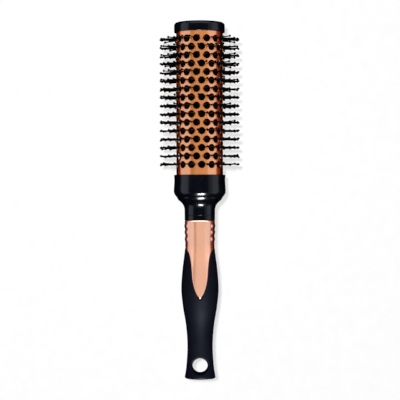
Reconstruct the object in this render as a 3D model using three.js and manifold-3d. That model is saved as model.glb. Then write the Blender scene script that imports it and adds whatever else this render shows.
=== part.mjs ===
// Round thermal hair brush. A perforated metal barrel is closed by an end cap and a collar.
// Nylon bristle strips stand on a grooved spindle inside it and come out through the vent holes.
// The handle has two materials: a moulded core, and a rubber grip with a pointed window front and back.
//
// Millimetres. Each piece is drawn about the brush's own axis, +Y, with y = 0 at the end of the handle
// and angles measured from +Z towards +X. The group then lays the brush down: bristle tips on z = 0,
// origin under the middle of its length.
import * as THREE from "three";
import { mergeVertices } from "three/addons/utils/BufferGeometryUtils.js";
import Module from "manifold-3d";

const wasm = await Module();
wasm.setup();

// ---- Driving dimensions ----
const GAP = 0.3; // between pieces that touch in the real brush
const ROUND = 28; // sides of the large round pieces
const OVERLAP = 1; // how far solids that are joined run into one another
const CLEAR = 40; // reach of cutting solids, past anything they cut

// Stations along the axis
const HANDLE_TOP = 109.2;
const NECK_JOINT = 112.5; // between neck ring and collar
const BARREL_SEAT = 131.5; // the shoulder in the collar that the barrel stands on
const COLLAR_TOP = 140.4;
const CAP_BOTTOM = 238.4;
const CAP_TOP = 244.8;

// Barrel and its vent holes: staggered rings, two bristles through each hole
const BARREL_R = 16; // a 32 mm (1 1/4 inch) barrel
const BARREL_WALL = 0.6;
const RINGS = 16;
const HOLES_PER_RING = 14;
const HOLE_R = 2.45;
const HOLE_SIDES = 6; // cut as polygons of the round hole's area
const FIRST_RING = 147.2; // the ring nearest the handle
const LAST_RING = 232.9;
const COLUMNS = 2 * HOLES_PER_RING; // bristle columns along the barrel
const COLUMN_STEP = (2 * Math.PI) / COLUMNS;
const COLUMN_PHASE = THREE.MathUtils.degToRad(-1.27); // angle of column 1

// Bristle strips and the spindle that holds them
const TIP_R = 27.5; // bristle tips, from the axis
const BRISTLE_R = 0.38; // corners of a three-sided bristle
const BRISTLE_RISE = 0.4; // bristles stand this far capwards of their holes' centres
const RAIL_W = 0.9;
const RAIL_TOP = 13.4; // outer edge of a strip's rail, from the axis
const RAIL_END = 3; // rail beyond its last bristle
const SPINDLE_R = 11.6;
const SPINDLE_BORE = 8.6;
const GROOVE_DEPTH = 1.5;
const HUB_TOP = 152; // the spindle's thick lower end, round the spigot
const SPIGOT_R = 6; // the handle's spigot, up through neck ring and collar into the spindle
const SPIGOT_TOP = 148;

// Collar, neck ring and end cap
const NECK_R = 10.45;
// The collar's outside, as [radius, station]: hollow root, rounded shoulder and lip
const COLLAR_ROOT = [[NECK_R, 116.2], [11.1, 119.3], [12.7, 121.5], [14.2, 122.8]];
const COLLAR_SHOULDER = [[14.7, 123.5], [16.4, 126], [17.55, 128.1], [17.83, 130.2], [17.45, 135.4]];
const COLLAR_LIP = 17.6;
const LIP_EDGE = 0.4;
const SKIRT_BORE = BARREL_R + GAP;
const CAP_R = 17.4;
const CAP_FILLET = 2;
const CAP_ROOF = 2; // thickness of the cap over the barrel's end
const CAP_BOSS = 8; // how far its boss reaches into the spindle

// Handle: half width at stations along it, with its belly at 62 and its waist at 23
const TOP_EDGE = 0.8; // bevel round its top
const HANDLE_WIDTH = [
  [10.6, 1.7],
  [9.45, 9],
  [8.65, 23],
  [9.6, 37],
  [11.7, 50],
  [12.8, 62],
  [12, 75],
  [10.4, 88],
  [9.98, 95],
  [10.4, HANDLE_TOP - TOP_EDGE],
];
const HANDLE_STEPS = 18;
const HANDLE_SIDES = 20;
const END_EDGE = 1.2; // radius round its flat end
const END_DEPTH = 0.8; // depth over width at that end
const ROUND_Y = 95; // from here up the handle is round
const RUBBER = 1.9; // thickness of the grip over the core
const EYE_Y = 9.6; // hanging eye
const EYE_R = 5.15;
const EYE_LINING = 1;
const EYE_SIDES = 16;

// The window's edge from its point up to the side of the handle, as two Bezier curves
const WINDOW_CURVES = [
  [[0, 55], [4.2, 59.2], [5.1, 66], [5.6, 72]],
  [[5.6, 72], [6, 79], [7, 86.5], [9.95, 90]],
];
const WINDOW_STEPS = 5;

// Finger ribs, on the two sides of the core only
const RIB_YS = [96.3, 101, 105.2];
const RIB_R = 10.45;
const RIB_HALF = 1.5;
const RIB_CREST = 0.5; // height of a rib's sloping part
const RIB_ROOT = 2; // a rib starts this far below its crest, inside the core
const RIB_FROM_X = 7.6;

// ---- Solids ----

// A closed geometry as a solid that can be joined and cut.
function solid(geometry) {
  const bare = geometry.clone();
  bare.deleteAttribute("normal");
  bare.deleteAttribute("uv");
  const merged = mergeVertices(bare);
  return new wasm.Manifold(
    new wasm.Mesh({
      numProp: 3,
      vertProperties: merged.attributes.position.array,
      triVerts: new Uint32Array(merged.index.array),
    }),
  );
}

function geometryOf(made) {
  const { vertProperties, triVerts } = made.getMesh();
  const geometry = new THREE.BufferGeometry();
  geometry.setAttribute("position", new THREE.BufferAttribute(vertProperties, 3));
  geometry.setIndex(new THREE.BufferAttribute(triVerts, 1));
  return geometry;
}

// A solid of revolution from [radius, station] pairs, listed upwards along its outside.
function turned(profile, sides = ROUND) {
  const points = profile.map(([r, y]) => new THREE.Vector2(r, y));
  return new THREE.LatheGeometry(points, sides);
}

function ring(inner, outer, bottom, top, sides = ROUND) {
  const corners = [
    [inner, bottom],
    [outer, bottom],
    [outer, top],
    [inner, top],
    [inner, bottom],
  ];
  return turned(corners, sides);
}

// A rod across the brush at one station, along Z.
function crossRod(radius, half, y, sides) {
  const rod = new THREE.CylinderGeometry(radius, radius, 2 * half, sides);
  return rod.rotateX(Math.PI / 2).translate(0, y, 0);
}

// [radius, station] pairs along an arc. The angle is 0 outwards and 90 degrees towards the cap.
function arc(radius, y, size, from, to, steps) {
  return Array.from({ length: steps + 1 }, (_, i) => {
    const t = THREE.MathUtils.degToRad(from + ((to - from) * i) / steps);
    return [radius + size * Math.cos(t), y + size * Math.sin(t)];
  });
}

// [x, y] pairs along a smooth curve through a few points.
function smooth(points, steps) {
  const curve = new THREE.SplineCurve(points.map(([x, y]) => new THREE.Vector2(x, y)));
  return curve.getPoints(steps).map((p) => [p.x, p.y]);
}

const ringY = (i) => FIRST_RING + ((LAST_RING - FIRST_RING) * i) / (RINGS - 1);

// ---- Barrel ----
// The holes' centres lie on the edges between its flats, so that each hole spans two flats.
function barrel() {
  const corner = HOLE_R * Math.sqrt((2 * Math.PI) / (HOLE_SIDES * Math.sin((2 * Math.PI) / HOLE_SIDES)));
  const inner = BARREL_R - BARREL_WALL;
  let tube = solid(ring(inner, BARREL_R, BARREL_SEAT + GAP, CAP_TOP - CAP_ROOF, COLUMNS));
  for (let i = 0; i < RINGS; i++)
    for (let k = 0; k < HOLES_PER_RING / 2; k++) {
      const angle = (2 * k + (i % 2)) * COLUMN_STEP;
      const cutter = crossRod(corner, BARREL_R + OVERLAP, ringY(i), HOLE_SIDES).rotateY(angle);
      tube = tube.subtract(solid(cutter));
    }
  return geometryOf(tube);
}

// ---- Bristle strip ----
// A rail that lies in the spindle's groove, with a bristle at every ring of holes.
function bristleStrip() {
  const bottom = SPINDLE_R - GROOVE_DEPTH + GAP;
  const length = LAST_RING - FIRST_RING + 2 * RAIL_END;
  const rail = new THREE.BoxGeometry(RAIL_W, length, RAIL_TOP - bottom);
  rail.translate(0, (FIRST_RING + LAST_RING) / 2 + BRISTLE_RISE, (RAIL_TOP + bottom) / 2);
  let strip = solid(rail);
  const section = Array.from({ length: 3 }, (_, k) => {
    const t = (k * 2 * Math.PI) / 3;
    return new THREE.Vector2(BRISTLE_R * Math.sin(t), BRISTLE_R * Math.cos(t));
  });
  const root = RAIL_TOP - OVERLAP;
  const bristle = new THREE.ExtrudeGeometry(new THREE.Shape(section), {
    depth: TIP_R - root,
    bevelEnabled: false,
  });
  for (let i = 0; i < RINGS; i++)
    strip = strip.add(solid(bristle.clone().translate(0, ringY(i) + BRISTLE_RISE, root)));
  return geometryOf(strip);
}

// ---- Spindle ----
// A tube with a groove for each rail, and a thicker hub round the handle's spigot.
function spindle() {
  const half = (RAIL_W / 2 + GAP) / SPINDLE_R;
  const floor = SPINDLE_R - GROOVE_DEPTH;
  const outline = [];
  for (let k = 0; k < COLUMNS; k++) {
    const middle = k * COLUMN_STEP;
    for (const [r, t] of [
      [SPINDLE_R, middle - half],
      [floor, middle - half],
      [floor, middle + half],
      [SPINDLE_R, middle + half],
    ])
      outline.push(new THREE.Vector2(r * Math.sin(t), r * Math.cos(t)));
  }
  const section = new THREE.Shape(outline);
  section.holes.push(new THREE.Path().absarc(0, 0, SPINDLE_BORE, 0, 2 * Math.PI));
  const bottom = BARREL_SEAT + GAP;
  const depth = CAP_TOP - CAP_ROOF - bottom;
  const tube = new THREE.ExtrudeGeometry(section, { depth, bevelEnabled: false, curveSegments: ROUND / 2 });
  tube.rotateX(-Math.PI / 2).translate(0, bottom, 0);
  const hub = ring(SPIGOT_R + GAP, SPINDLE_BORE + OVERLAP, bottom, HUB_TOP);
  return geometryOf(solid(tube).add(solid(hub)));
}

// ---- Collar ----
// Neck, hollow root and rounded shoulder, then the skirt round the foot of the barrel.
function collar() {
  const bore = SPIGOT_R + GAP;
  const foot = NECK_JOINT + GAP / 2;
  return turned([
    [bore, foot],
    [NECK_R, foot],
    ...smooth(COLLAR_ROOT, 5),
    ...smooth(COLLAR_SHOULDER, 5),
    [COLLAR_LIP, COLLAR_TOP - LIP_EDGE],
    [COLLAR_LIP - LIP_EDGE, COLLAR_TOP],
    [SKIRT_BORE, COLLAR_TOP],
    [SKIRT_BORE, BARREL_SEAT],
    [bore, BARREL_SEAT],
    [bore, foot],
  ]);
}

// ---- End cap ----
// A flat-topped cup over the barrel's end, with a boss that centres the spindle.
function endCap() {
  const boss = SPINDLE_BORE - GAP;
  const roof = CAP_TOP - CAP_ROOF + GAP;
  return turned([
    [0, roof - CAP_BOSS],
    [boss, roof - CAP_BOSS],
    [boss, roof],
    [SKIRT_BORE, roof],
    [SKIRT_BORE, CAP_BOTTOM],
    [CAP_R, CAP_BOTTOM],
    ...arc(CAP_R - CAP_FILLET, CAP_TOP - CAP_FILLET, CAP_FILLET, 0, 90, 2),
    [0, CAP_TOP],
  ]);
}

// ---- Handle ----

// Depth over width at a station: END_DEPTH up to the eye, then growing until the handle is round.
const depthAt = (y) => END_DEPTH + (1 - END_DEPTH) * THREE.MathUtils.smoothstep(y, EYE_Y, ROUND_Y);

// The handle's outer body, or the same body with its surface moved inwards.
function handleBody(inset) {
  const sides = smooth(HANDLE_WIDTH, HANDLE_STEPS).map(([r, y]) => [r - inset, y]);
  const [endR, endY] = sides[0];
  const profile = [
    [0, inset],
    ...arc(endR - END_EDGE, endY + inset, END_EDGE, -80, -20, 2),
    ...sides.slice(inset > 0 ? 1 : 0),
    [HANDLE_WIDTH.at(-1)[0] - inset - TOP_EDGE, HANDLE_TOP],
    [0, HANDLE_TOP],
  ];
  const body = turned(profile, HANDLE_SIDES);
  const place = body.attributes.position;
  for (let i = 0; i < place.count; i++) place.setZ(i, place.getZ(i) * depthAt(place.getY(i)));
  return solid(body);
}

// Everything inside the window's edge, front to back, with all of the handle above it.
function windowBlock(outwards) {
  const right = [];
  for (const points of WINDOW_CURVES) {
    const curve = new THREE.CubicBezierCurve(...points.map(([x, y]) => new THREE.Vector2(x, y)));
    for (let i = right.length ? 1 : 0; i <= WINDOW_STEPS; i++) {
      const along = curve.getTangent(i / WINDOW_STEPS);
      const p = curve.getPoint(i / WINDOW_STEPS);
      right.push(new THREE.Vector2(p.x + along.y * outwards, p.y - along.x * outwards));
    }
  }
  const [, point] = WINDOW_CURVES[0][0];
  const [, shoulder] = WINDOW_CURVES[1][3];
  right[0].set(0, point - outwards * Math.SQRT2);
  right.push(new THREE.Vector2(CLEAR, shoulder + 1 - outwards), new THREE.Vector2(CLEAR, 2 * HANDLE_TOP));
  const left = right.slice(1).reverse().map((p) => new THREE.Vector2(-p.x, p.y));
  const outline = new THREE.Shape([...right, ...left]);
  const block = new THREE.ExtrudeGeometry(outline, { depth: 2 * CLEAR, bevelEnabled: false });
  return solid(block.translate(0, 0, -CLEAR));
}

// One rib, all the way round.
function ribRing(y) {
  const root = RIB_R - RIB_ROOT;
  return solid(turned([
    [root, y - RIB_HALF],
    [RIB_R - RIB_CREST, y - RIB_HALF],
    [RIB_R, y],
    [RIB_R - RIB_CREST, y + RIB_HALF],
    [root, y + RIB_HALF],
    [root, y - RIB_HALF],
  ]));
}

// The core fills the windows flush with the grip and is bare above it. Its spigot holds the barrel's parts.
function handleCore() {
  const bare = handleBody(0).intersect(windowBlock(-GAP / 2));
  let core = handleBody(RUBBER).add(bare);
  for (const y of RIB_YS)
    for (const side of [-1, 1]) {
      const flank = new THREE.BoxGeometry(RIB_R, 4 * RIB_HALF, 2 * CLEAR);
      flank.translate(side * (RIB_FROM_X + RIB_R / 2), y, 0);
      core = core.add(ribRing(y).intersect(solid(flank)));
    }
  const length = SPIGOT_TOP - HANDLE_TOP + OVERLAP;
  const spigot = new THREE.CylinderGeometry(SPIGOT_R, SPIGOT_R, length, HANDLE_SIDES);
  core = core.add(solid(spigot.translate(0, SPIGOT_TOP - length / 2, 0)));
  return geometryOf(core.subtract(solid(crossRod(EYE_R + EYE_LINING + GAP, CLEAR, EYE_Y, EYE_SIDES))));
}

// A rubber sleeve, closed over the handle's end, that also lines the hanging eye.
function gripSleeve() {
  const lining = solid(crossRod(EYE_R + EYE_LINING, CLEAR, EYE_Y, EYE_SIDES));
  const hollow = handleBody(RUBBER - GAP).subtract(lining);
  const eye = solid(crossRod(EYE_R, CLEAR, EYE_Y, EYE_SIDES));
  return geometryOf(handleBody(0).subtract(hollow).subtract(windowBlock(GAP / 2)).subtract(eye));
}

// ---- Assembly ----
const finish = (color, roughness, metalness = 0) =>
  new THREE.MeshStandardMaterial({ color, roughness, metalness });

const brush = new THREE.Group();
brush.position.set(0, -CAP_TOP / 2, TIP_R);

function put(name, geometry, material, angle = 0) {
  const mesh = new THREE.Mesh(geometry, material);
  mesh.name = name;
  mesh.rotation.y = angle;
  brush.add(mesh);
}

put("barrel", barrel(), finish(0xd0763a, 0.3, 1), COLUMN_PHASE - COLUMN_STEP / 2);
put("bristle_spindle", spindle(), finish(0x101014, 0.6), COLUMN_PHASE);
for (let k = 0; k < COLUMNS; k++) {
  const name = "bristle_strip_" + String(k + 1).padStart(2, "0");
  put(name, bristleStrip(), finish(0x0c0c10, 0.45), COLUMN_PHASE + k * COLUMN_STEP);
}
put("end_cap", endCap(), finish(0x14151c, 0.25));
put("collar", collar(), finish(0x14151c, 0.2));
const neckRing = ring(SPIGOT_R + GAP, NECK_R, HANDLE_TOP + GAP, NECK_JOINT - GAP / 2);
put("neck_ring", neckRing, finish(0x14151c, 0.2));
put("handle_core", handleCore(), finish(0xe3a789, 0.3, 0.8));
put("grip_sleeve", gripSleeve(), finish(0x1a1b22, 0.6));

export default brush;
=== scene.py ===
import math
import random

import bmesh
import bpy
import numpy as np
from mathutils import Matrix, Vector


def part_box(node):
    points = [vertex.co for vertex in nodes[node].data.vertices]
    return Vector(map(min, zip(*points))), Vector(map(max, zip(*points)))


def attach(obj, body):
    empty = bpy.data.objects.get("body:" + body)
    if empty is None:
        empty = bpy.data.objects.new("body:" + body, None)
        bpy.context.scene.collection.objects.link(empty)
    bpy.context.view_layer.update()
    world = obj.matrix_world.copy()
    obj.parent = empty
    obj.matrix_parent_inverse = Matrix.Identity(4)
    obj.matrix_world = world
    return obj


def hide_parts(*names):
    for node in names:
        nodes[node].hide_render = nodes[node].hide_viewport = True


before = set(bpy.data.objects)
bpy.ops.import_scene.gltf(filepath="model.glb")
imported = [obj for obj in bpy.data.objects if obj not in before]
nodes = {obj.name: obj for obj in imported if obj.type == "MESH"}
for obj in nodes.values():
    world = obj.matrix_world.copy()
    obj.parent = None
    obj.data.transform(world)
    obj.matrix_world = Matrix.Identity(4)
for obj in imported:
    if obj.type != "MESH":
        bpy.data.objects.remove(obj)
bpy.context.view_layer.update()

# A round thermal hair brush. Every piece is drawn in millimetres about the brush's axis, with y measured
# from the end of the handle and angles from +Z towards +X. It is then placed where the frame has the axis.

MM = 0.001
MICRON = 0.000001
TAU = 2 * math.pi

# ---- Places and sizes that come from the frame ----
# the handle's end and the height of the brush's axis, in mm
END_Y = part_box("grip_sleeve")[0].y / MM
AXIS_Z = (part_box("barrel")[0].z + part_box("barrel")[1].z) / 2 / MM


def span(node):
    """The stations of a CAD node's two ends, in mm from the end of the handle."""
    low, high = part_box(node)
    return low.y / MM - END_Y, high.y / MM - END_Y


def radius(node):
    """A CAD node's outer radius about the axis, in mm."""
    places = np.array([v.co for v in nodes[node].data.vertices]) / MM
    return float(np.hypot(places[:, 0], places[:, 2] - AXIS_Z).max())


CAD_GAP = 0.3  # between neighbouring pieces in the frame
CAP_SKIRT = 4.75  # how far the cap reaches down over the barrel
BARREL_FOOT, BARREL_HEAD = span("barrel")
CAP_FOOT = BARREL_HEAD - CAP_SKIRT
BOSS_FOOT, CAP_TOP = span("end_cap")
COLLAR_FOOT, COLLAR_TOP = span("collar")
HANDLE_TOP = span("neck_ring")[0] - CAD_GAP
SPIGOT_TOP = span("handle_core")[1]
BARREL_R = radius("barrel")
CAP_R = radius("end_cap")
COLLAR_R = radius("collar")
NECK_R = radius("neck_ring")
TIP_R = 27.5  # bristle tips, from the axis

# ---- The pattern of holes and bristles ----
RINGS = 16
HOLES_PER_RING = 14
COLUMNS = 2 * HOLES_PER_RING
COLUMN_STEP = TAU / COLUMNS
COLUMN_PHASE = math.radians(-1.27)
FIRST_RING, LAST_RING = 147.2, 232.9
RING_PITCH = (LAST_RING - FIRST_RING) / (RINGS - 1)
HOLE_R = 2.45
BRISTLE_RISE = 0.4  # bristles stand this far capwards of their holes' centres


def ring_y(ring):
    """The station of a ring of holes."""
    return FIRST_RING + ring * RING_PITCH


# ---- Mesh helpers ----
WELD = 0.002  # points closer than this become one, mm
ON_AXIS = 1e-6  # a smaller radius counts as a point on the axis, mm


def make_piece(name, points, faces, material, slot, replaced, sharp=40):
    """A mesh from mm points about the axis, placed in the frame, smooth but for edges over sharp degrees."""
    mesh = bpy.data.meshes.new(name)
    placed = (np.asarray(points, float) + (0, END_Y, AXIS_Z)) * MM
    mesh.from_pydata(placed.tolist(), [], faces)
    welded = bmesh.new()
    welded.from_mesh(mesh)
    bmesh.ops.remove_doubles(welded, verts=welded.verts, dist=WELD * MM)
    bmesh.ops.recalc_face_normals(welded, faces=welded.faces)
    welded.to_mesh(mesh)
    welded.free()
    mesh.shade_smooth()
    mesh.set_sharp_from_angle(angle=math.radians(sharp))
    mesh.materials.append(material)
    piece = bpy.data.objects.new(name, mesh)
    bpy.context.scene.collection.objects.link(piece)
    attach(piece, "root")
    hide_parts(replaced)
    return piece


def joined(parts):
    """The points and faces of several (points, faces) pairs together."""
    points, faces = [], []
    for more_points, more_faces in parts:
        first = len(points)
        points += more_points
        faces += [[first + corner for corner in face] for face in more_faces]
    return points, faces


def loop_faces(loops, count):
    """Faces between closed loops of count points each that are stored one after another."""
    faces = []
    for loop in range(loops - 1):
        low, high = loop * count, (loop + 1) * count
        for k in range(count):
            n = (k + 1) % count
            faces.append([low + k, low + n, high + n, high + k])
    return faces


def without_repeats(corners):
    """A face's corners, each once: a quad that touches the axis becomes a triangle."""
    return [c for i, c in enumerate(corners) if c not in corners[:i]]


def turned(profile, sides=160):
    """Points and faces of a solid of revolution. The profile is (radius, station) pairs: it starts and ends
    on the axis, or it is a loop that closes on itself."""
    closes = profile[0][0] > ON_AXIS
    points, rows, faces = [], [], []
    for r, y in profile:
        if r < ON_AXIS:
            rows.append([len(points)] * sides)
            points.append((0, y, 0))
            continue
        rows.append([len(points) + k for k in range(sides)])
        points += [(r * math.sin(TAU * k / sides), y, r * math.cos(TAU * k / sides)) for k in range(sides)]
    pairs = list(zip(rows, rows[1:]))
    if closes:
        pairs.append((rows[-1], rows[0]))
    for low, high in pairs:
        for k in range(sides):
            n = (k + 1) % sides
            faces.append(without_repeats([low[k], low[n], high[n], high[k]]))
    return points, faces


def rounded(corners, steps=6):
    """A profile from (radius, station, fillet) corners. A fillet of 0 keeps the corner."""
    profile = []
    for i, (r, y, fillet) in enumerate(corners):
        here = np.array((r, y))
        if fillet == 0:
            profile.append((r, y))
            continue
        before = np.array(corners[i - 1][:2]) - here
        after = np.array(corners[(i + 1) % len(corners)][:2]) - here
        before = before / np.linalg.norm(before)
        after = after / np.linalg.norm(after)
        half = math.acos(max(-1, min(1, before @ after))) / 2
        middle = here + (before + after) / np.linalg.norm(before + after) * fillet / math.sin(half)
        start = here + before * fillet / math.tan(half)
        end = here + after * fillet / math.tan(half)
        first = math.atan2(*(start - middle)[::-1])
        turn = (math.atan2(*(end - middle)[::-1]) - first + math.pi) % TAU - math.pi
        for k in range(steps + 1):
            t = first + turn * k / steps
            profile.append((middle[0] + fillet * math.cos(t), middle[1] + fillet * math.sin(t)))
    return profile


def through(stations, count):
    """Points along a Catmull-Rom curve through a few stations."""
    p = np.array([stations[0], *stations, stations[-1]], float)
    found = []
    for t in np.linspace(0, len(stations) - 1, count):
        i = min(int(t), len(stations) - 2)
        f = t - i
        a, b, c, d = p[i:i + 4]
        cubic = (3 * b - a - 3 * c + d) * f**3
        found.append(0.5 * (2 * b + (c - a) * f + (2 * a - 5 * b + 4 * c - d) * f**2 + cubic))
    return np.array(found)


def bezier(controls, count):
    """Points along a cubic Bezier curve."""
    t = np.linspace(0, 1, count)[:, None]
    a, b, c, d = (np.array(point, float) for point in controls)
    return (1 - t)**3 * a + 3 * (1 - t)**2 * t * b + 3 * (1 - t) * t * t * c + t**3 * d


# ---- Materials ----

class Surface:
    """A Principled material with a few node shortcuts. Coordinates are the piece's own, in metres."""

    def __init__(self, name):
        self.material = bpy.data.materials.new(name)
        self.material.use_nodes = True
        self.tree = self.material.node_tree
        self.shader = self.tree.nodes["Principled BSDF"]
        self.place = self.add("ShaderNodeTexCoord").outputs["Object"]

    def add(self, kind, **settings):
        node = self.tree.nodes.new(kind)
        for key, value in settings.items():
            setattr(node, key, value)
        return node

    def link(self, out, into):
        self.tree.links.new(out, into)

    def fixed(self, **values):
        """Values that are the same all over, set on the shader's own sockets."""
        for key, value in values.items():
            self.shader.inputs[key.replace("_", " ")].default_value = value

    def lacquered_metal(self, edge, haze):
        """Metal that takes the edge colour at grazing angles, under a strong clear coat."""
        self.fixed(Metallic=1.0, Specular_Tint=(*edge, 1))
        self.fixed(Coat_Weight=1.0, Coat_Roughness=haze, Coat_IOR=2.3)

    def stretched(self, scale):
        node = self.add("ShaderNodeMapping")
        node.inputs["Scale"].default_value = scale
        self.link(self.place, node.inputs["Vector"])
        return node.outputs["Vector"]

    def round_axis(self, turns, along):
        """Coordinates round the brush's axis: (angle * turns, station * along, 0)."""
        split = self.add("ShaderNodeSeparateXYZ")
        self.link(self.place, split.inputs[0])
        up = self.math("SUBTRACT", split.outputs["Z"], AXIS_Z * MM)
        angle = self.math("ARCTAN2", split.outputs["X"], up)
        combined = self.add("ShaderNodeCombineXYZ")
        self.link(self.math("MULTIPLY", angle, turns), combined.inputs["X"])
        self.link(self.math("MULTIPLY", split.outputs["Y"], along), combined.inputs["Y"])
        return combined.outputs[0]

    def math(self, operation, a, b):
        node = self.add("ShaderNodeMath", operation=operation)
        for value, socket in zip((a, b), node.inputs):
            if isinstance(value, (int, float)):
                socket.default_value = value
            else:
                self.link(value, socket)
        return node.outputs[0]

    def average(self, a, b):
        return self.math("MULTIPLY", self.math("ADD", a, b), 0.5)

    def noise(self, vector, scale, detail, rough=0.5):
        node = self.add("ShaderNodeTexNoise")
        self.link(vector, node.inputs["Vector"])
        node.inputs["Scale"].default_value = scale
        node.inputs["Detail"].default_value = detail
        node.inputs["Roughness"].default_value = rough
        return node.outputs["Fac"]

    def cells(self, vector, scale):
        node = self.add("ShaderNodeTexVoronoi")
        self.link(vector, node.inputs["Vector"])
        node.inputs["Scale"].default_value = scale
        return node.outputs["Distance"]

    def tint(self, value, low, high, start=0.3, end=0.7):
        """A colour from low to high as value goes from start to end, into Base Color."""
        ramp = self.add("ShaderNodeValToRGB")
        for stop, position, colour in zip(ramp.color_ramp.elements, (start, end), (low, high)):
            stop.position = position
            stop.color = (*colour, 1)
        self.link(value, ramp.inputs["Fac"])
        self.link(ramp.outputs["Color"], self.shader.inputs["Base Color"])

    def roughness(self, value, low, high, start=0.3, end=0.7):
        """A roughness from low to high as value goes from start to end."""
        node = self.add("ShaderNodeMapRange")
        self.link(value, node.inputs["Value"])
        for key, number in (("From Min", start), ("From Max", end), ("To Min", low), ("To Max", high)):
            node.inputs[key].default_value = number
        self.link(node.outputs["Result"], self.shader.inputs["Roughness"])

    def bump(self, *heights):
        """Bumps stacked on one another, from (height, depth in microns) pairs."""
        normal = None
        for height, depth in heights:
            node = self.add("ShaderNodeBump")
            node.inputs["Distance"].default_value = depth * MICRON
            self.link(height, node.inputs["Height"])
            if normal:
                self.link(normal, node.inputs["Normal"])
            normal = node.outputs["Normal"]
        self.link(normal, self.shader.inputs["Normal"])


def anodised_barrel():
    """Satin orange anodising over turned aluminium: fine rings round the tube, cloudy roughness."""
    s = Surface("anodised_barrel")
    turning = s.noise(s.round_axis(turns=1.5, along=9000), scale=1.0, detail=2)
    cloud = s.noise(s.place, scale=90, detail=3)
    s.tint(cloud, (0.70, 0.20, 0.022), (0.78, 0.235, 0.032))
    s.roughness(s.average(turning, cloud), 0.2, 0.3)
    s.bump((turning, 1.5))
    s.lacquered_metal(edge=(1.0, 0.1, 0.03), haze=0.16)
    return s.material


def copper_lacquer():
    """Metallic lacquer on the moulded core: fine flakes under a clear coat."""
    s = Surface("copper_lacquer")
    flakes = s.cells(s.place, scale=9000)
    cloud = s.noise(s.place, scale=60, detail=3)
    s.tint(cloud, (0.68, 0.29, 0.165), (0.74, 0.32, 0.19))
    s.roughness(flakes, 0.2, 0.3)
    s.bump((flakes, 1.5), (s.noise(s.place, scale=350, detail=2), 5))
    s.lacquered_metal(edge=(1.0, 0.12, 0.04), haze=0.13)
    return s.material


def gloss_black():
    """Polished black moulding with faint handling marks."""
    s = Surface("gloss_black")
    smudge = s.noise(s.place, scale=70, detail=5, rough=0.6)
    hairline = s.noise(s.stretched((1, 12, 1)), scale=300, detail=3)
    s.tint(smudge, (0.0022, 0.0025, 0.005), (0.0038, 0.0042, 0.0078))
    s.roughness(smudge, 0.16, 0.24)
    s.bump((hairline, 4), (s.noise(s.place, scale=500, detail=2), 3))
    return s.material


def grip_rubber():
    """Soft-touch rubber with a fine matt grain and slightly polished patches."""
    s = Surface("grip_rubber")
    grain = s.noise(s.place, scale=3500, detail=3, rough=0.6)
    worn = s.noise(s.place, scale=45, detail=4)
    s.tint(worn, (0.0045, 0.005, 0.011), (0.007, 0.0078, 0.0155))
    s.roughness(worn, 0.42, 0.52)
    s.fixed(Specular_IOR_Level=0.2)
    s.bump((grain, 30), (s.noise(s.place, scale=260, detail=2), 30))
    return s.material


def black_nylon():
    """Drawn nylon with ball tips: satin, with faint streaks."""
    s = Surface("black_nylon")
    streak = s.noise(s.place, scale=700, detail=3)
    s.tint(streak, (0.002, 0.002, 0.0025), (0.005, 0.005, 0.006))
    s.roughness(streak, 0.4, 0.55)
    s.fixed(Specular_IOR_Level=0.12)
    s.bump((streak, 10))
    return s.material


def spindle_plastic():
    """Matt moulded plastic, seen through the holes."""
    s = Surface("spindle_plastic")
    grain = s.noise(s.place, scale=900, detail=4)
    s.tint(grain, (0.0015, 0.0015, 0.0018), (0.003, 0.003, 0.0035))
    s.roughness(grain, 0.5, 0.7)
    s.fixed(Specular_IOR_Level=0.08)
    s.bump((grain, 20))
    return s.material


BARREL_LOOK = anodised_barrel()
COPPER_LOOK = copper_lacquer()
BLACK_LOOK = gloss_black()
RUBBER_LOOK = grip_rubber()
NYLON_LOOK = black_nylon()
SPINDLE_LOOK = spindle_plastic()


# ---- Barrel ----
# The wall is made of one rectangular cell round each hole, laid like bricks, with plain bands at both ends.
WALL = 0.4
WALL_IN = BARREL_R - WALL
HOLE_LIP = 0.16  # radius of the rounding round a hole
LIP_STEPS = 5
HOLE_CHAMFER = 0.1  # inside the wall
CELL_ACROSS, CELL_ALONG = 10, 6  # steps along a cell's two kinds of side
AROUND = HOLES_PER_RING * CELL_ACROSS
BAND_STATIONS = 6


def cell_edge():
    """A cell's outline as (arc in mm, station) offsets from its hole's centre, once round."""
    half_arc, half_height = COLUMN_STEP * BARREL_R, RING_PITCH / 2
    across = np.linspace(-1, 1, CELL_ACROSS + 1)[:-1]
    along = np.linspace(-1, 1, CELL_ALONG + 1)[:-1]
    edge = [(u * half_arc, -half_height) for u in across] + [(half_arc, v * half_height) for v in along]
    edge += [(-u * half_arc, half_height) for u in across] + [(-half_arc, -v * half_height) for v in along]
    return np.array(edge)


def cell_loops():
    """A cell's loops as (offsets, radius): from its edge outside, over the hole's lip and through the wall,
    to its edge inside."""
    flat = cell_edge()
    toward = flat / np.linalg.norm(flat, axis=1)[:, None]
    rim = toward * (HOLE_R + HOLE_LIP)
    loops = [(flat, BARREL_R), ((flat + rim) / 2, BARREL_R)]
    for t in np.linspace(0, math.pi / 2, LIP_STEPS + 1):
        reach = HOLE_R + HOLE_LIP * (1 - math.sin(t))
        loops.append((toward * reach, BARREL_R - HOLE_LIP * (1 - math.cos(t))))
    loops.append((toward * HOLE_R, WALL_IN + HOLE_CHAMFER))
    loops.append((toward * (HOLE_R + HOLE_CHAMFER), WALL_IN))
    loops.append((flat, WALL_IN))
    return loops


def cell(loops, angle, y):
    """The wall round the hole at one angle and station."""
    points = []
    for offsets, r in loops:
        turn = angle + offsets[:, 0] / BARREL_R
        points += list(zip(r * np.sin(turn), y + offsets[:, 1], r * np.cos(turn)))
    return points, loop_faces(len(loops), len(loops[0][0]))


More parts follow.
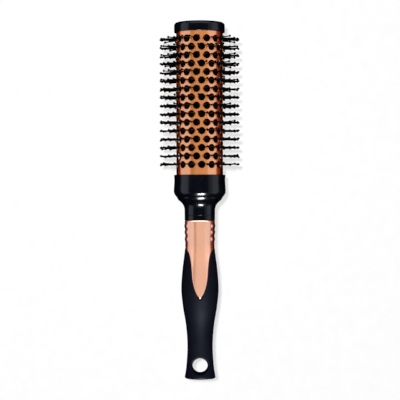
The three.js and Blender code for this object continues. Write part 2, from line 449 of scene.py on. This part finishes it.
def plain_band(start, end):
    """The wall from the last cells at start to the barrel's end."""
    stations = [(BARREL_R, y) for y in np.linspace(start, end, BAND_STATIONS)]
    stations += [(WALL_IN, end), (WALL_IN, start)]
    points = []
    for r, y in stations:
        for k in range(AROUND):
            turn = COLUMN_PHASE + COLUMN_STEP / 2 + TAU * k / AROUND
            points.append((r * math.sin(turn), y, r * math.cos(turn)))
    return points, loop_faces(len(stations), AROUND)


def barrel():
    loops = cell_loops()
    parts = []
    for ring in range(RINGS):
        stagger = 0.5 - ring % 2
        for k in range(HOLES_PER_RING):
            parts.append(cell(loops, COLUMN_PHASE + (2 * k + stagger) * COLUMN_STEP, ring_y(ring)))
    parts.append(plain_band(FIRST_RING - RING_PITCH / 2, BARREL_FOOT))
    parts.append(plain_band(LAST_RING + RING_PITCH / 2, BARREL_HEAD))
    return make_piece("barrel_tube", *joined(parts), BARREL_LOOK, "anodised_barrel", "barrel")


# ---- Bristle strips ----
BRISTLE_SIDES = 10
# distance from the axis and half thickness along one bristle, up to its ball tip
BRISTLE = [(12.6, 0.46), (16, 0.44), (20, 0.41), (24, 0.37), (25.75, 0.35), (25.95, 0.44), (26.12, 0.56),
           (26.37, 0.73), (26.66, 0.8), (26.96, 0.74), (27.22, 0.56), (27.4, 0.3)]
BALL_END = TIP_R - 0.02
BEND = 0.95  # the most that a tip leans each way, mm; most lean far less
BEND_FROM = 16  # distance from the axis where the lean begins
BEND_CURVE = 1.6
RAIL_HALF, RAIL_LOW, RAIL_HIGH, RAIL_END = 0.45, 10.4, 13.4, 3
# a rail's section, across in half widths and up in heights
RAIL_SECTION = [(-0.7, 0), (0.7, 0), (1, 0.1), (1, 0.85), (0.6, 1), (-0.6, 1), (-1, 0.85), (-1, 0.1)]
AXIS = np.array((0, 1, 0))
draw = random.Random(7)


def bristle(out, side, y):
    """One bristle at a station, leaning a little at random."""
    lean = BEND * (side * draw.uniform(-1, 1) ** 3 + AXIS * draw.uniform(-1, 1) ** 3)
    points = []
    for r, half in BRISTLE:
        share = max(0, (r - BEND_FROM) / (TIP_R - BEND_FROM)) ** BEND_CURVE
        middle = out * r + AXIS * y + lean * share
        for k in range(BRISTLE_SIDES):
            t = TAU * k / BRISTLE_SIDES
            points.append(middle + half * (side * math.cos(t) + AXIS * math.sin(t)))
    points.append(out * BALL_END + AXIS * y + lean)
    tip = len(points) - 1
    top = tip - BRISTLE_SIDES
    faces = loop_faces(len(BRISTLE), BRISTLE_SIDES)
    faces += [[top + k, top + (k + 1) % BRISTLE_SIDES, tip] for k in range(BRISTLE_SIDES)]
    faces.append(list(reversed(range(BRISTLE_SIDES))))
    return points, faces


def rail(out, side):
    """The rail that one column's bristles stand on."""
    points = []
    for y in (FIRST_RING - RAIL_END + BRISTLE_RISE, LAST_RING + RAIL_END + BRISTLE_RISE):
        for u, v in RAIL_SECTION:
            points.append(side * u * RAIL_HALF + out * (RAIL_LOW + v * (RAIL_HIGH - RAIL_LOW)) + AXIS * y)
    n = len(RAIL_SECTION)
    faces = loop_faces(2, n)
    faces += [list(range(n)), [n + k for k in reversed(range(n))]]
    return points, faces


def bristle_strip(column):
    angle = COLUMN_PHASE + column * COLUMN_STEP
    out = np.array((math.sin(angle), 0, math.cos(angle)))
    side = np.array((math.cos(angle), 0, -math.sin(angle)))
    parts = [bristle(out, side, ring_y(ring) + BRISTLE_RISE) for ring in range(RINGS)]
    parts.append(rail(out, side))
    number = f"{column + 1:02d}"
    return make_piece("bristles_" + number, *joined(parts), NYLON_LOOK, "bristle_nylon",
                      "bristle_strip_" + number)


# ---- Cap, collar and neck ring ----
CLEARANCE = 0.25  # between the barrel and what fits over it
SLEEVE_R = BARREL_R + CLEARANCE  # inside of the cap and the collar's skirt
BOSS_R = 8.3  # the cap's boss, in the spindle
CAP_EDGE = 2.0  # fillet round the cap
DIMPLE_R, DIMPLE_FOOT_R, DIMPLE_DEPTH = 1.6, 1.2, 0.2
SPIGOT_BORE = 6.3
EDGE = 0.2  # fillet of the joints at the neck
JOINT = 0.05  # half of a joint's visible gap
RING_INSET = 0.03  # how far the neck ring lies inside the neck's surface


def end_cap():
    roof = BARREL_HEAD + CLEARANCE
    dimple = CAP_TOP - DIMPLE_DEPTH
    corners = [(0, BOSS_FOOT, 0), (BOSS_R, BOSS_FOOT, 0.4), (BOSS_R, roof, 0), (SLEEVE_R, roof, 0),
               (SLEEVE_R, CAP_FOOT, 0.25), (CAP_R, CAP_FOOT, 0.35), (CAP_R, CAP_TOP, CAP_EDGE),
               (DIMPLE_R, CAP_TOP, 0.15), (DIMPLE_FOOT_R, dimple, 0.1), (0, dimple, 0)]
    return make_piece("cap", *turned(rounded(corners)), BLACK_LOOK, "gloss_black", "end_cap")


# Outside of the collar from the neck up, as (radius, station): root, bead between two fine grooves, and then
# shoulder, waist and lip
ROOT_Y = 116.0
LIP_R, LIP_Y = 17.6, 139.7
COLLAR_ROOT = [(NECK_R, ROOT_Y), (10.55, 117.2), (10.76, 118.2), (11.14, 119.2), (11.72, 120.3),
               (12.6, 121.4), (13.55, 122.15)]
COLLAR_BEAD = [(14.0, 122.55), (14.38, 122.85), (14.86, 123.4), (15.22, 124.0), (15.46, 124.45),
               (15.72, 125.0)]
COLLAR_SHOULDER = [(15.85, 125.2), (16.28, 125.65), (16.76, 126.3), (17.18, 127.0), (17.54, 127.7),
                   (17.71, 128.3), (17.8, 129.0), (COLLAR_R, 130.0), (17.62, 132.9), (17.45, 135.6),
                   (17.47, 138.0), (LIP_R, LIP_Y)]
FINE_GROOVES = [(13.45, 122.35), (15.45, 125.1)]  # at the bead's foot and head


def collar():
    neck = rounded([(SPIGOT_BORE, COLLAR_FOOT, 0), (NECK_R, COLLAR_FOOT, EDGE), (NECK_R, ROOT_Y, 0)])[:-1]
    outside = [*through(COLLAR_ROOT, 30), FINE_GROOVES[0], *through(COLLAR_BEAD, 20), FINE_GROOVES[1],
               *through(COLLAR_SHOULDER, 48)]
    lip = rounded([(LIP_R, LIP_Y, 0), (LIP_R, COLLAR_TOP, 0.45), (SLEEVE_R, COLLAR_TOP, 0.25),
                   (SLEEVE_R, BARREL_FOOT, 0)])[1:]
    profile = neck + outside + lip + [(SPIGOT_BORE, BARREL_FOOT)]
    return make_piece("collar_moulding", *turned(profile), BLACK_LOOK, "gloss_black", "collar")


def neck_ring():
    foot, top = HANDLE_TOP + JOINT, COLLAR_FOOT - JOINT
    outer = NECK_R - RING_INSET
    corners = [(SPIGOT_BORE, foot, 0), (outer, foot, EDGE), (outer, top, EDGE), (SPIGOT_BORE, top, 0)]
    return make_piece("neck_band", *turned(rounded(corners)), BLACK_LOOK, "gloss_black", "neck_ring")


# ---- Handle ----
# Core and grip share one grid. Its rows run round the handle; between the belly and the neck they follow the
# window's edge, from its point on the front and back up to its shoulders on the two sides.
END_DEPTH = 0.8  # depth over width up to the eye
ROUND_Y = 95  # from here up the handle is round
EYE_Y, EYE_R = 9.6, 5.15
RUBBER = 1.6  # thickness of the grip
HIDDEN = 1.9  # how far the core lies under the grip's surface
# (station, half width) along the handle
WIDTH = through([(1.7, 10.6), (9, 9.45), (23, 8.65), (37, 9.6), (50, 11.7), (62, 12.8), (75, 12), (88, 10.4),
                 (ROUND_Y, 9.98), (HANDLE_TOP, 10.4)], 400)


def width(y):
    """Half width of the handle at a station."""
    return np.interp(y, WIDTH[:, 0], WIDTH[:, 1])


def depth(y):
    """Depth over width: END_DEPTH up to the eye, growing until the handle is round."""
    t = np.clip((np.asarray(y) - EYE_Y) / (ROUND_Y - EYE_Y), 0, 1)
    return END_DEPTH + (1 - END_DEPTH) * t * t * (3 - 2 * t)


# The window's edge as (arc from the front's middle line, station), from its point to the side
SHOULDER_Y = 90.4
SIDE_ARC = float(width(SHOULDER_Y)) * math.pi / 2
WINDOW_CURVES = [
    [(0, 55.6), (3.2, 58.6), (5.2, 65), (5.85, 72)],
    [(5.85, 72), (6.4, 78.5), (7.0, 85.5), (9.6, 87.6)],
    [(9.6, 87.6), (11.2, 88.9), (13.2, SHOULDER_Y), (SIDE_ARC, SHOULDER_Y)],
]
WINDOW = np.vstack([bezier(controls, 200)[min(i, 1):] for i, controls in enumerate(WINDOW_CURVES)])
STEP_ALONG = np.hypot(*np.diff(WINDOW, axis=0).T)
ALONG = np.concatenate([[0], np.cumsum(STEP_ALONG)])
QUARTER = 80  # columns in a quarter turn, evenly spaced along the window's edge
COLUMN_ANGLE = np.interp(np.linspace(0, ALONG[-1], QUARTER + 1), ALONG, WINDOW[:, 0] / width(WINDOW[:, 1]))
COLUMN_ANGLE[-1] = math.pi / 2
PAST_MIDDLE = 0.2  # how far past the middle line an offset line is followed, radians


def beside_window(offset):
    """Stations, at each column, of the line that runs offset mm outside the window's edge."""
    tangent = np.gradient(WINDOW, axis=0)
    tangent /= np.linalg.norm(tangent, axis=1)[:, None]
    line = WINDOW + offset * np.stack([tangent[:, 1], -tangent[:, 0]], axis=1)
    angle = line[:, 0] / width(line[:, 1])
    onward = np.concatenate([[True], np.diff(np.maximum.accumulate(angle)) > 0])
    keep = onward & (angle > -PAST_MIDDLE)
    angle, y = angle[keep], line[keep, 1]
    found = np.interp(COLUMN_ANGLE, angle, y)
    # columns nearer to the middle line than the offset line starts: carry its first slope on
    slope = (y[1] - y[0]) / (angle[1] - angle[0])
    near = COLUMN_ANGLE < angle[0]
    found[near] = y[0] + (COLUMN_ANGLE[near] - angle[0]) * slope
    return found


def level(y):
    """The stations of a row that stays at one station."""
    return np.full(QUARTER + 1, float(y))


def fan(start, end, count):
    """Rows from one row to another, with both left out."""
    return [start + (end - start) * t for t in np.linspace(0, 1, count + 2)[1:-1]]


class Handle:
    """Collects rows of points round the handle and joins them into one closed surface."""

    def __init__(self):
        self.points, self.faces = [], []

    def row(self, y, inset=0.0, shrink=1.0):
        """One row: a station for each column, how far inside the handle's surface it lies, and a scale."""
        wide = (width(y) - inset) * shrink
        deep = (width(y) * depth(y) - inset) * shrink
        quarter = np.stack([wide * np.sin(COLUMN_ANGLE), y, deep * np.cos(COLUMN_ANGLE)], axis=1)
        back = quarter[::-1] * (1, 1, -1)
        right = np.vstack([quarter, back[1:]])
        left = (right * (-1, 1, 1))[::-1][1:-1]
        return self.place(np.vstack([right, left]).tolist())

    def pole(self, y):
        """A row drawn together in one point on the axis."""
        return self.place([(0, y, 0)]) * (4 * QUARTER)

    def place(self, points):
        """Adds points and returns their indices."""
        first = len(self.points)
        self.points += points
        return list(range(first, first + len(points)))

    def between(self, low, high, skip=()):
        """Faces between two closed loops of points, without the columns to skip."""
        for k in range(len(low)):
            if k not in skip:
                n = (k + 1) % len(low)
                self.faces.append(without_repeats([low[k], low[n], high[n], high[k]]))

    def join(self, rows, eye):
        """Faces between rows. Between rows eye[0] and eye[1], columns within eye[2] of the two middle lines
        are left open for the hanging eye."""
        low_row, high_row, reach = eye
        front = {k % (4 * QUARTER) for k in range(-reach, reach)}
        back = {k + 2 * QUARTER for k in range(-reach, reach)}
        for i, (low, high) in enumerate(zip(rows, rows[1:])):
            self.between(low, high, front | back if low_row <= i < high_row else ())


def surface_z(x, y, inset):
    """Height of the handle's surface over the axis."""
    wide, deep = width(y) - inset, width(y) * depth(y) - inset
    return deep * np.sqrt(np.clip(1 - (x / wide) ** 2, 0, 1))


EYE_REACH = 0.8  # how far the eye's opening in the grid goes round from the middle line, radians
EYE_COLUMNS = int(np.searchsorted(COLUMN_ANGLE, EYE_REACH))
EYE_MARGIN = 1.7  # between the eye and the rows where its opening in the grid ends
EYE_LIP, EYE_LIP_DEPTH = 1.25, 4.0
PLAIN_LIP = 0.1  # where the eye's edge is out of sight
GRIP_LINING, CORE_LINING = 1.4, 1.7  # from the eye to the grip's inside and to the core


def eye_outline(rows, eye):
    """The points round the opening in the front, and for each the point opposite it in the back."""
    low, high, reach = eye
    columns = range(-reach, reach + 1)
    places = [(low, k) for k in columns]
    places += [(i, reach) for i in range(low + 1, high)]
    places += [(high, k) for k in reversed(columns)]
    places += [(i, -reach) for i in range(high - 1, low, -1)]
    front = [rows[i][k % (4 * QUARTER)] for i, k in places]
    back = [rows[i][(2 * QUARTER - k) % (4 * QUARTER)] for i, k in places]
    return front, back


def eye_patch(handle, rows, eye, r, lip, lip_depth, inset):
    """Fills the opening left in the rows, front and back, with rings over a rounded lip into the eye."""
    front, back = eye_outline(rows, eye)
    outline = np.array([handle.points[i] for i in front])[:, :2]
    away = outline - (0, EYE_Y)
    away /= np.linalg.norm(away, axis=1)[:, None]
    start = away * (r + lip) + (0, EYE_Y)
    rings = [(outline + (start - outline) * t, 0.0) for t in (0.25, 0.5, 0.75, 1.0)]
    for t in np.linspace(0, math.pi / 2, 11)[1:]:
        rings.append((away * (r + lip * (1 - math.sin(t))) + (0, EYE_Y), lip_depth * (1 - math.cos(t))))
    walls = []
    for side, ids in ((1, front), (-1, back)):
        for places, drop in rings:
            z = surface_z(places[:, 0], places[:, 1], inset) - drop
            fresh = handle.place(np.stack([places[:, 0], places[:, 1], side * z], axis=1).tolist())
            handle.between(ids, fresh)
            ids = fresh
        walls.append(ids)
    ids = walls[0]
    start, end = (np.array([handle.points[i] for i in wall]) for wall in walls)
    for t in (0.2, 0.4, 0.6, 0.8):
        fresh = handle.place((start + (end - start) * t).tolist())
        handle.between(ids, fresh)
        ids = fresh
    handle.between(ids, walls[1])


def eye_span(rows, handle):
    """Rows just below and above the hanging eye, and how many columns it reaches to either side."""
    stations = [handle.points[row[0]][1] for row in rows]
    low = max(i for i, y in enumerate(stations) if y < EYE_Y - EYE_R - EYE_MARGIN)
    high = min(i for i, y in enumerate(stations) if y > EYE_Y + EYE_R + EYE_MARGIN)
    return low, high, EYE_COLUMNS


SIDES_Y = 2.1  # where the rounded end passes into the sides
END_R = 1.5
END_DOME = 0.6  # how far the end bulges
END_ARC_STEPS = 6


def end_rows(handle, inset):
    """The handle's end: a slight dome and its rounded edge."""
    wide = float(width(SIDES_Y))
    flat = wide - END_R
    rows = [handle.pole(inset)]
    for t in (0.12, 0.3, 0.5, 0.7, 0.85, 0.95):
        rows.append(handle.row(level(inset + END_DOME * t ** 2), inset, flat / wide * t))
    for k in range(END_ARC_STEPS + 1):
        t = math.radians(-85 + 80 * k / END_ARC_STEPS)
        y = inset * (1 - k / (END_ARC_STEPS + 1)) + SIDES_Y + END_R * math.sin(t)
        rows.append(handle.row(level(y), inset, (flat + END_R * math.cos(t)) / wide))
    return rows


BELLY_ROW, NECK_ROW = 52.0, 93.0
ROW_PITCH, NECK_PITCH = 0.72, 0.25
UNDER_ROWS, WINDOW_ROWS = 44, 48  # rows in the fans below the window's edge and inside it


def under_rows(handle, inset, offset):
    """Rows from the handle's end to the line offset mm outside the window's edge."""
    rows = end_rows(handle, inset)
    for y in np.arange(SIDES_Y + 0.4, BELLY_ROW + 0.1, ROW_PITCH):
        rows.append(handle.row(level(y), inset))
    for y in fan(level(handle.points[rows[-1][0]][1]), beside_window(offset), UNDER_ROWS):
        rows.append(handle.row(y, inset))
    return rows


def quarter_round(offset, size):
    """How far a rounded edge has fallen, from 0 to 1, offset mm from its foot, when size mm wide."""
    reach = max(0.0, 1 - offset / size)
    return 1 - math.sqrt(max(0, 1 - reach**2))


# The rubber's rolled edge beside the window
LIP = 1.15
LIP_DROP = 0.55
LIP_FOOT = 1.0  # how far below the surface the edge goes straight down
LIP_OFFSETS = [1.3, 1.05, 0.85, 0.65, 0.5, 0.37, 0.27, 0.2, 0.16]


def grip():
    handle = Handle()
    outer = under_rows(handle, 0.0, LIP_OFFSETS[0])
    for offset in LIP_OFFSETS:
        outer.append(handle.row(beside_window(offset), LIP_DROP * quarter_round(offset, LIP)))
    outer.append(handle.row(beside_window(LIP_OFFSETS[-1]), LIP_FOOT))
    inner = under_rows(handle, RUBBER, LIP_OFFSETS[-1])
    inner.append(handle.row(beside_window(LIP_OFFSETS[-1]), RUBBER))
    for rows, r, lip, lip_depth, inset in (
            (outer, EYE_R, EYE_LIP, EYE_LIP_DEPTH, 0.0),
            (inner, EYE_R + GRIP_LINING, PLAIN_LIP, PLAIN_LIP, RUBBER)):
        eye = eye_span(rows, handle)
        handle.join(rows, eye)
        eye_patch(handle, rows, eye, r, lip, lip_depth, inset)
    handle.between(outer[-1], inner[-1])
    return make_piece("grip", handle.points, handle.faces, RUBBER_LOOK, "grip_rubber", "grip_sleeve",
                      sharp=55)


# Finger ribs, on the two sides of the neck
RIB_YS = (96.3, 101.0, 105.2)
RIB_HALF, RIB_RISE = 1.75, 0.42
RIB_FROM, RIB_TO = math.radians(47), math.radians(58)  # where a rib begins and where it has its full height


def rib_rise(y):
    """How far the finger ribs stand out at each column of the row at station y."""
    reach = np.clip((COLUMN_ANGLE - RIB_FROM) / (RIB_TO - RIB_FROM), 0, 1)
    cover = reach * reach * (3 - 2 * reach)
    crest = sum(math.cos(math.pi / 2 * (y - middle) / RIB_HALF) ** 1.3
                for middle in RIB_YS if abs(y - middle) < RIB_HALF)
    return RIB_RISE * cover * crest


# The core's rounded edge inside the window
RIM = 0.95
RIM_DROP = 0.5
RIM_OFFSETS = [0.12, 0.15, 0.22, 0.32, 0.44, 0.58, 0.74, 0.9, 1.1]
CORE_OFFSET = 0.1  # how far outside the window's edge the core turns up into it
TOP_FILLET = 0.75
TOP_RING_R = 8
SPIGOT_R, SPIGOT_CHAMFER = 5.95, 0.6


def core():
    handle = Handle()
    rows = under_rows(handle, HIDDEN, CORE_OFFSET)
    eye = eye_span(rows, handle)
    rows.append(handle.row(beside_window(-RIM_OFFSETS[0]), HIDDEN))
    for offset in RIM_OFFSETS:
        rows.append(handle.row(beside_window(-offset), RIM_DROP * quarter_round(offset, RIM)))
    for y in fan(beside_window(-RIM_OFFSETS[-1]), level(NECK_ROW), WINDOW_ROWS):
        rows.append(handle.row(y))
    top = HANDLE_TOP - TOP_FILLET
    for y in np.arange(NECK_ROW, top, NECK_PITCH):
        rows.append(handle.row(level(y), -rib_rise(y)))
    for t in np.linspace(0, math.pi / 2, 8):
        rows.append(handle.row(level(top + TOP_FILLET * math.sin(t)), TOP_FILLET * (1 - math.cos(t))))
    edge = float(width(HANDLE_TOP))
    spigot = ((TOP_RING_R, HANDLE_TOP), (SPIGOT_R, HANDLE_TOP), (SPIGOT_R, SPIGOT_TOP - SPIGOT_CHAMFER),
              (SPIGOT_R - SPIGOT_CHAMFER, SPIGOT_TOP))
    for r, y in spigot:
        rows.append(handle.row(level(y), edge - r))
    rows.append(handle.pole(SPIGOT_TOP))
    handle.join(rows, eye)
    eye_patch(handle, rows, eye, EYE_R + CORE_LINING, PLAIN_LIP, PLAIN_LIP, HIDDEN)
    return make_piece("handle_moulding", handle.points, handle.faces, COPPER_LOOK, "copper_core",
                      "handle_core", sharp=50)


# ---- The pieces ----
tube = barrel()
for column in range(COLUMNS):
    bristle_strip(column)
glossy_black = [end_cap(), collar(), neck_ring()]
sleeve = grip()
moulding = core()
nodes["bristle_spindle"].data.materials.clear()
nodes["bristle_spindle"].data.materials.append(SPINDLE_LOOK)


# ---- Studio ----
FLOOR_HALF = 3.0  # metres
LAMP_DISTANCE = 0.7  # metres, for the panels


def floor():
    """A sheet of pale paper that takes the brush's shadow but is left out of its reflections."""
    corners = [(-FLOOR_HALF, -FLOOR_HALF, 0), (FLOOR_HALF, -FLOOR_HALF, 0), (FLOOR_HALF, FLOOR_HALF, 0),
               (-FLOOR_HALF, FLOOR_HALF, 0)]
    mesh = bpy.data.meshes.new("floor")
    mesh.from_pydata(corners, [], [(0, 1, 2, 3)])
    s = Surface("floor_paper")
    s.tint(s.noise(s.place, scale=120, detail=3), (0.93, 0.93, 0.93), (0.95, 0.95, 0.95))
    s.fixed(Roughness=0.9, Specular_IOR_Level=0.0)
    mesh.materials.append(s.material)
    plane = bpy.data.objects.new("floor", mesh)
    bpy.context.scene.collection.objects.link(plane)
    plane.visible_glossy = False
    plane.visible_diffuse = False
    plane.visible_shadow = False
    return plane


def lamp(name, direction, distance, size, radiance, gloss=True, diffuse=True, colour=(1, 1, 1), only=None):
    """A rectangular lamp aimed at the brush from a direction, with a given radiance, hidden from the camera.
    It lights everything, or only one collection."""
    data = bpy.data.lights.new(name, "AREA")
    data.shape = "RECTANGLE"
    data.size, data.size_y = size
    data.energy = radiance * math.pi * size[0] * size[1]
    data.color = colour
    lit = bpy.data.objects.new(name, data)
    away = Vector(direction).normalized()
    lit.location = Vector((0, 0, AXIS_Z * MM)) + away * distance
    lit.rotation_euler = (-away).to_track_quat("-Z", "Y").to_euler()
    lit.visible_camera = False
    lit.visible_glossy = gloss
    lit.visible_diffuse = diffuse
    if only:
        lit.light_linking.receiver_collection = only
    bpy.context.scene.collection.objects.link(lit)
    return lit


def from_above(degrees, toward):
    """A direction some degrees off straight up, towards (x, y)."""
    t = math.radians(degrees)
    return (math.sin(t) * toward[0], math.sin(t) * toward[1], math.cos(t))


def group(name, pieces):
    """A collection that a lamp can be limited to."""
    made = bpy.data.collections.new(name)
    for piece in pieces:
        made.objects.link(piece)
    return made


floor_paper = floor()
everything = [piece for piece in bpy.context.scene.collection.all_objects if piece.type == "MESH"]
paper = group("paper", [floor_paper])
brush = group("brush", [piece for piece in everything if piece is not floor_paper])
metal = group("metal", [tube, moulding])
tube_only = group("tube_only", [tube])
moulding_only = group("moulding_only", [moulding])
glossy = group("gloss", glossy_black)
black = group("black", [*glossy_black, sleeve])

# The brush is lit from straight above, and its shadow comes from a small lamp to the upper left. A third
# lamp only brings the paper to white.
OVERHEAD = from_above(0, (0, 1))
lamp("key", OVERHEAD, 1.6, (0.9, 0.9), 7.8, gloss=False, only=brush)
lamp("shadow_key", from_above(6.5, (-0.72, 0.7)), 1.6, (0.09, 0.09), 320.0, gloss=False)
paper_light = lamp("paper_light", OVERHEAD, 3.0, (1.0, 1.0), 22.6, gloss=False, only=paper)
paper_light.data.use_shadow = False

# The other lamps only show as reflections. First comes the one past the handle's end, which gives the bright
# spots on the collar, and then panels beside the brush, over it and past its ends.
WHITE = (1, 1, 1)
COOL = (0.82, 0.88, 1.0)
lamp("handle_end", from_above(56, (0.11, -1)), 0.8, (0.32, 0.12), 74, diffuse=False,
     colour=(0.82, 0.95, 1.0), only=black)
# name, degrees off straight up, towards (x, y), size along and across it, radiance, colour, pieces lit
PANELS = (
    ("left_panel", 72, (-1, 0), (1.2, 0.5), 0.85, COOL, glossy),
    ("right_panel", 75, (1, 0), (1.2, 0.4), 0.8, COOL, glossy),
    ("right_fall_off", 50, (1, 0), (1.2, 0.25), 0.35, COOL, glossy),
    ("cap_end", 50, (0, 1), (1.0, 0.5), 1.2, COOL, glossy),
    ("metal_left", -77, (1, 0), (1.2, 0.82), 1.1, (0.94, 0.97, 1), metal),
    ("metal_right", 65, (1, 0), (1.2, 0.64), 1.12, (0.95, 0.98, 1), metal),
    ("glow_left", -115, (1, 0), (1.2, 0.34), 0.18, (1, 0.12, 0.04), metal),
    ("glow_right", 103, (1, 0), (1.2, 0.4), 0.26, (1, 0.17, 0.05), metal),
    ("tube_wide", -3, (1, 0), (1.2, 1.4), 0.6, (1, 0.8, 0.42), tube_only),
    ("tube_front", 6, (1, 0), (1.2, 0.9), 0.22, (1, 0.95, 0.85), tube_only),
    ("tube_top", 50, (0, 1), (1.2, 0.4), 1.2, WHITE, tube_only),
    ("moulding_wide", -3, (1, 0), (1.2, 1.4), 0.6, (1, 0.88, 0.72), moulding_only),
    ("moulding_front", 5, (1, 0), (1.2, 0.95), 0.45, (0.85, 0.98, 1), moulding_only),
    ("moulding_top", 50, (0, 1), (2.4, 0.4), 12.0, WHITE, moulding_only),
    ("moulding_end", 52, (0, -1), (0.5, 0.35), 10.0, WHITE, moulding_only),
)
for name, degrees, toward, size, radiance, colour, lit in PANELS:
    lamp(name, from_above(degrees, toward), LAMP_DISTANCE, size, radiance, diffuse=False, colour=colour,
         only=lit)

# The camera sees a white world, which lights nothing.
world = bpy.data.worlds.new("studio")
world.use_nodes = True
world.node_tree.nodes["Background"].inputs["Color"].default_value = (1, 1, 1, 1)
world.node_tree.nodes["Background"].inputs["Strength"].default_value = 0.95
world.cycles_visibility.diffuse = False
world.cycles_visibility.glossy = False
bpy.context.scene.world = world
bpy.context.scene.view_settings.view_transform = "Standard"

# ---- Camera ----
# Straight above the brush, as far off as the photograph's perspective says, and turned a little to match it.
CAMERA_OFF = 1.03  # metres over the brush's axis
CAMERA_X, CAMERA_Y = 0.15, 123.13  # mm off the axis, and the station below the camera
CAMERA_TURN = -0.002
data = bpy.data.cameras.new("camera")
data.sensor_width = 36
data.lens = 134.95
camera = bpy.data.objects.new("camera", data)
camera.location = (CAMERA_X * MM, (CAMERA_Y + END_Y) * MM, AXIS_Z * MM + CAMERA_OFF)
camera.rotation_euler.z = CAMERA_TURN
bpy.context.scene.collection.objects.link(camera)
bpy.context.scene.camera = camera
